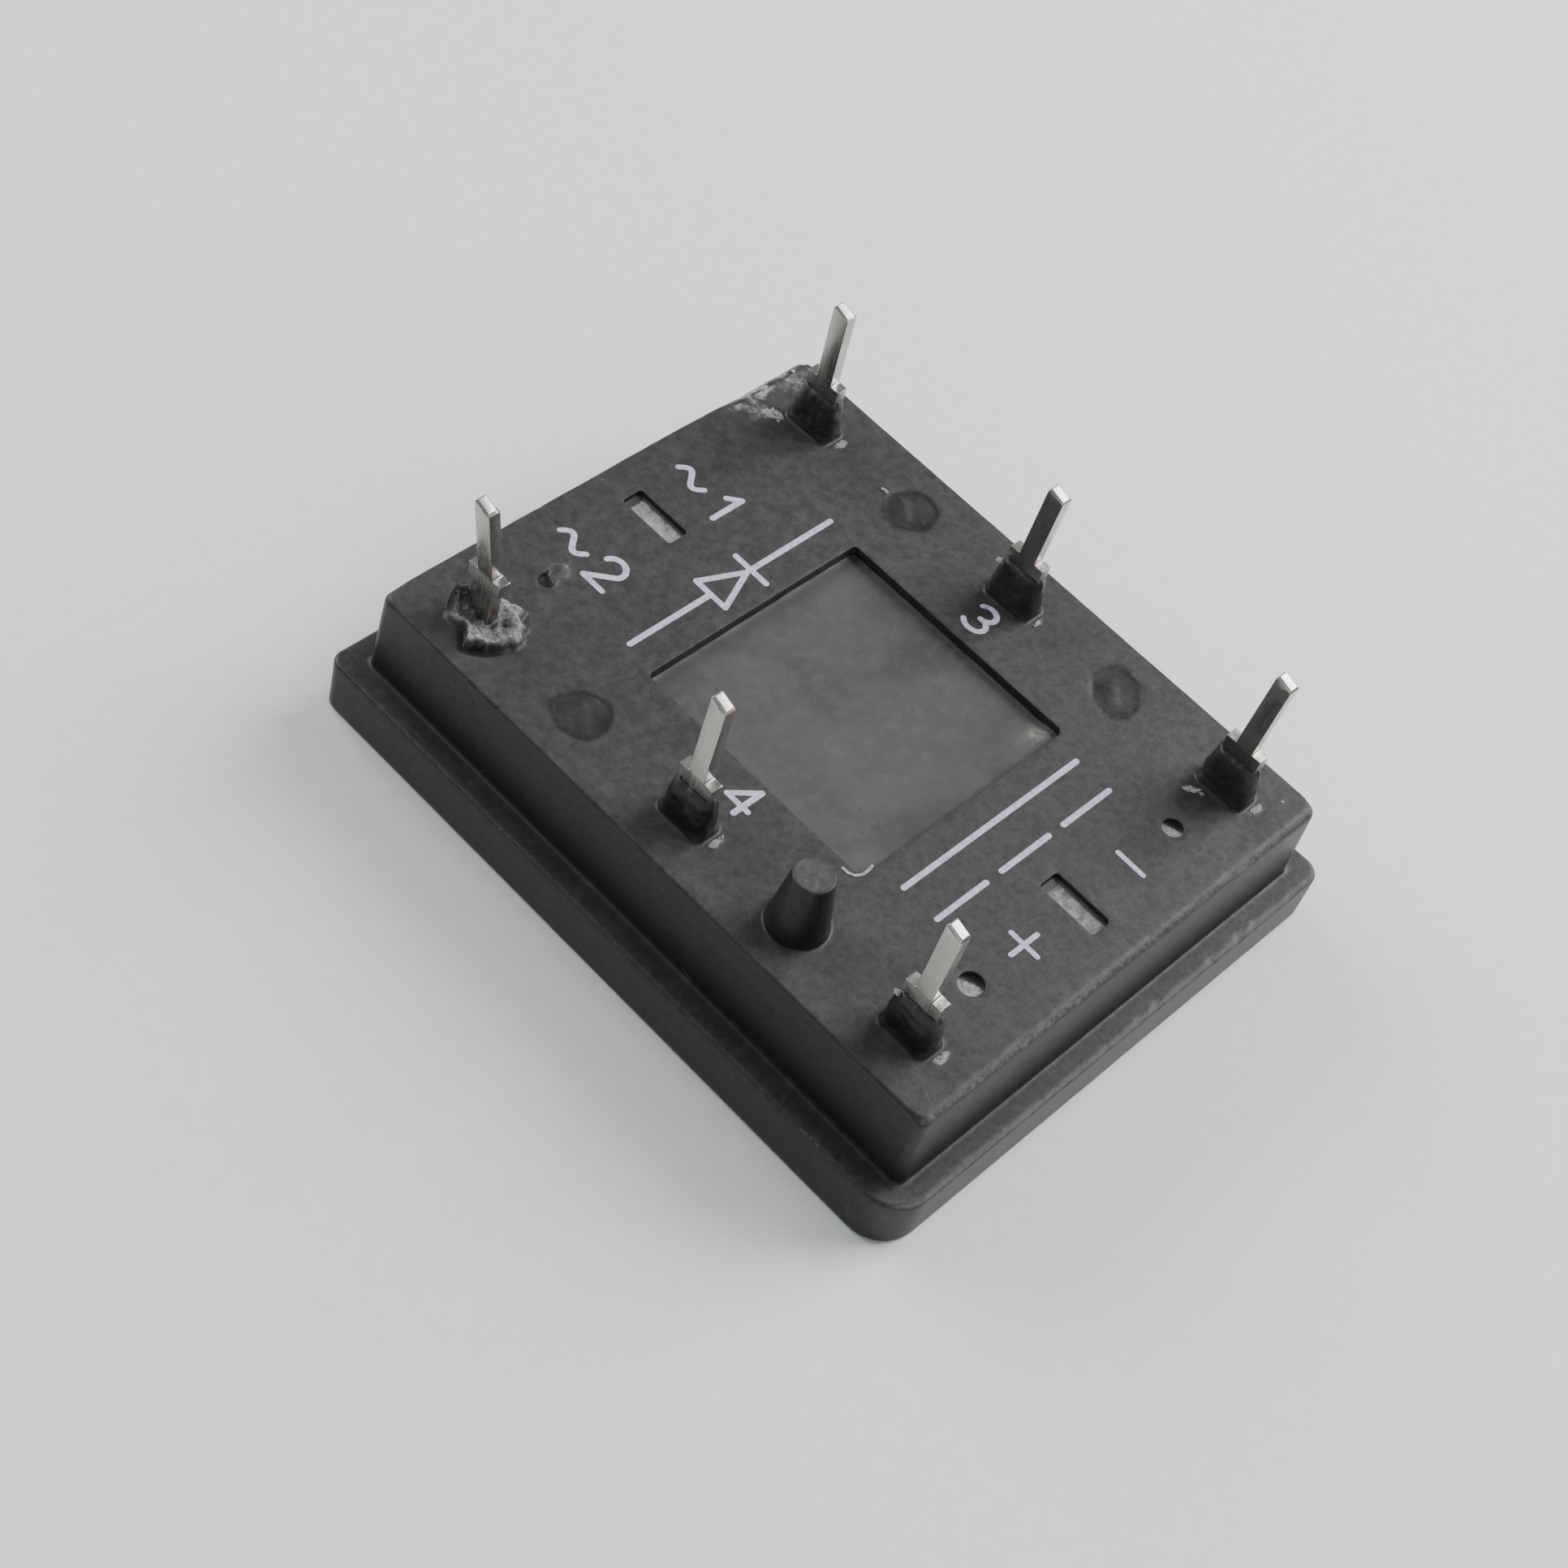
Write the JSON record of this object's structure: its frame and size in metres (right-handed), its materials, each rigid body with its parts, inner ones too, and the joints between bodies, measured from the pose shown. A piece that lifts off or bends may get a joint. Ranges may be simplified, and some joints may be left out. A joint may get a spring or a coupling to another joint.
{
  "type": "solid state relay module",
  "caption": "Potted board-mount power relay module: flanged dark case with a square window, flat terminals standing out of moulded collars, a plain post, and a metal heat-sink face.",
  "frame": {"origin": "middle of the underside, on the heat-sink face of the base plate", "axes": "+Z towards the terminal tips, +Y along the case towards the alternating-current terminals, +X towards the side with AC1, gate 1 and minus"},
  "size_m": [0.0356, 0.0436, 0.0184],
  "materials": {
    "case_moulding": "satin moulded thermoset, charcoal grey, worn lighter at the edges",
    "potting": "cast epoxy, mottled dark grey",
    "tinned_copper": "tin-plated copper strip, dulled, with bright cut ends",
    "nickel_plate": "matt nickel plating with faint machining lines",
    "adhesive": "grey silicone adhesive",
    "solder": "reflowed solder",
    "copper": "rolled copper",
    "alumina": "white unglazed alumina",
    "silicon": "polished silicon with a metallised top",
    "gate_wire": "bare bonding wire",
    "gel": "clear soft silicone gel",
    "print_ink": "pale printed ink",
    "flux_residue": "dry pale flux crumbs"
  },
  "bodies": {
    "root": {"case": "case_moulding", "base_plate": "nickel_plate", "base_adhesive": "adhesive", "base_solder": "solder", "substrate_base_copper": "copper", "ceramic_substrate": "alumina", "land_ac1": "copper", "land_ac2": "copper", "land_gate1": "copper", "land_gate2": "copper", "land_plus": "copper", "land_plus_return": "copper", "land_minus": "copper", "thyristor_chip_1": "silicon", "thyristor_chip_2": "silicon", "diode_chip_1": "silicon", "diode_chip_2": "silicon", "freewheel_diode_chip": "silicon", "chip_solder": "solder", "strap_solder": "solder", "terminal_solder": "solder", "cathode_strap_1": "copper", "cathode_strap_2": "copper", "anode_strap_1": "copper", "anode_strap_2": "copper", "freewheel_strap": "copper", "plus_bridge_strap": "copper", "gate_wire_1": "gate_wire", "gate_wire_2": "gate_wire", "terminal_ac1": "tinned_copper", "terminal_ac2": "tinned_copper", "terminal_g1": "tinned_copper", "terminal_g2": "tinned_copper", "terminal_plus": "tinned_copper", "terminal_minus": "tinned_copper", "silicone_gel": "gel", "epoxy_potting": "potting"}
  },
  "joints": []
}
